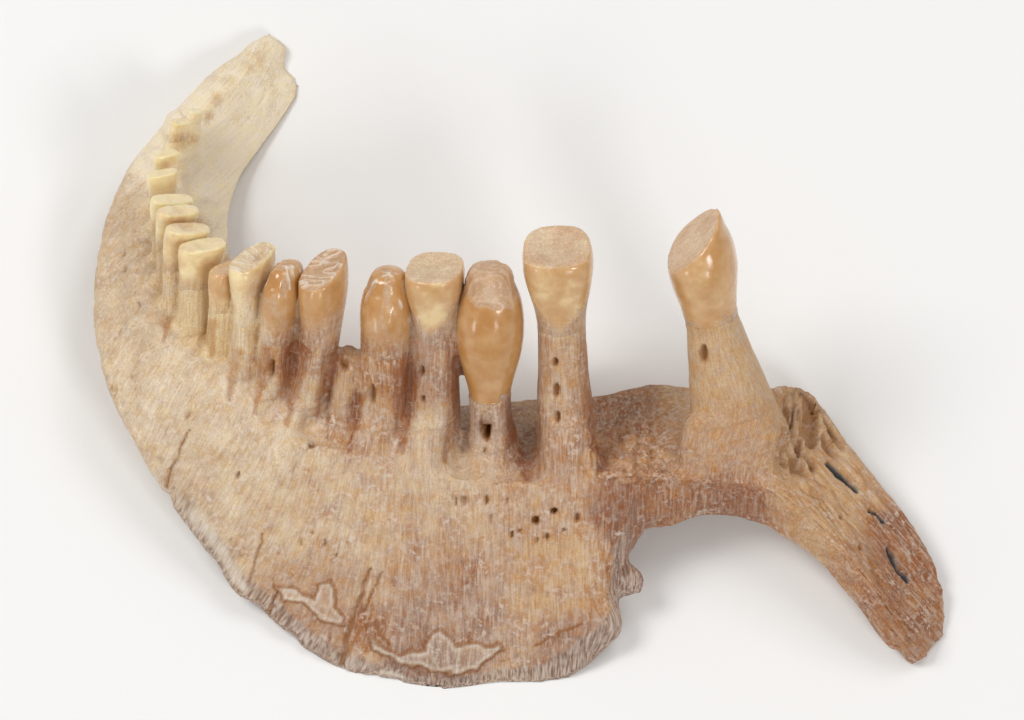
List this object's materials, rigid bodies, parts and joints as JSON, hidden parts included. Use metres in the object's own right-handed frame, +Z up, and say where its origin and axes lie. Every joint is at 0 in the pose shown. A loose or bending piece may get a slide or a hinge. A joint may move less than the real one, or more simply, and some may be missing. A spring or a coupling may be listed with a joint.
{
  "type": "fish pharyngeal arch with molar teeth",
  "caption": "Crescent-shaped throat bone of a large sucker fish: a broad thin wing, a row of stalked teeth from a fine comb to heavy grinding molars, and a rod-like lower limb.",
  "frame": {"origin": "middle of the bone's box, on the surface that it rests on", "axes": "+Z up from the surface; +X along the tooth row, from the bend towards the lower (ventral) end; +Y towards the tooth crowns and the dorsal tip"},
  "size_m": [0.0514, 0.0414, 0.0172],
  "materials": {
    "bone": "dry cream to amber bone, satin on the tooth stalks, porous and fibrous on the wing and the lower limb",
    "enameloid": "glossy, slightly translucent golden tooth crowns with dull, scratched worn faces",
    "dried_tissue": "pale dried tissue threads between the tooth stalks"
  },
  "bodies": {
    "root": {"dorsal_tip": "bone", "dorsal_limb": "bone", "arch_bend": "bone", "tooth_ridge_upper": "bone", "tooth_ridge_lower": "bone", "molar_base": "bone", "ventral_limb": "bone", "wing_upper": "bone", "wing_lower": "bone"}
  },
  "joints": []
}
